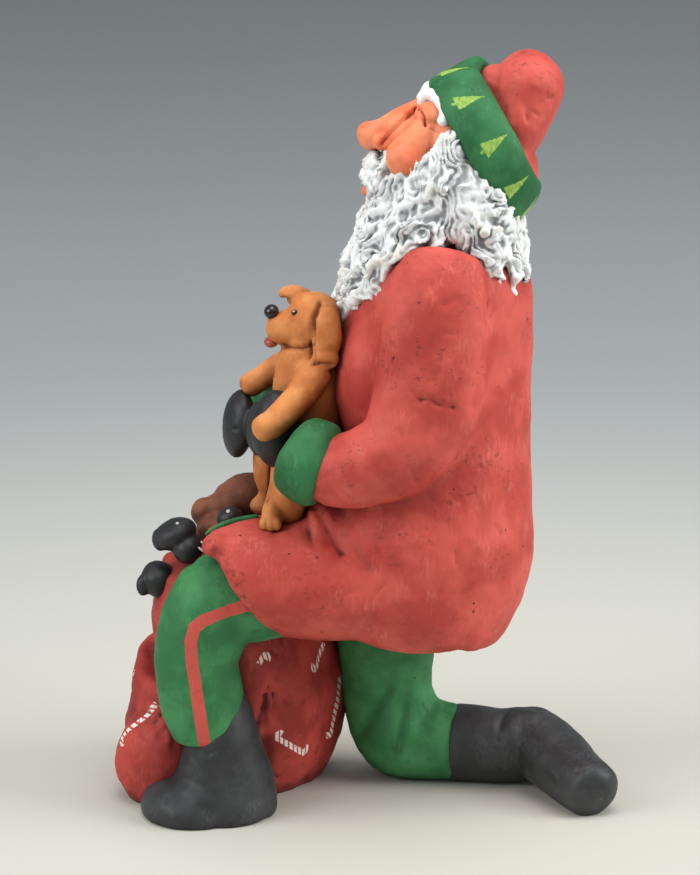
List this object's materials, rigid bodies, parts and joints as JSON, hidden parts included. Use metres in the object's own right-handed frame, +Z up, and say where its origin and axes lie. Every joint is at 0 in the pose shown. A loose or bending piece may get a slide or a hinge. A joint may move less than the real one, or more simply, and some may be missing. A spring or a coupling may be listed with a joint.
{
  "type": "kneeling santa figurine",
  "caption": "Painted clay Santa kneeling on one knee with a puppy on the lap and a sack of puppies between the legs; stands on a shelf as an ornament.",
  "frame": {"origin": "centre of the figure's bounding box, on the ground it stands on", "axes": "+Z up, the figure faces -Y and its left side is +X"},
  "size_m": [0.0984, 0.1694, 0.2539],
  "materials": {
    "painted_clay": "matte"
  },
  "bodies": {
    "root": {"santa_figurine": "painted_clay"}
  },
  "joints": []
}
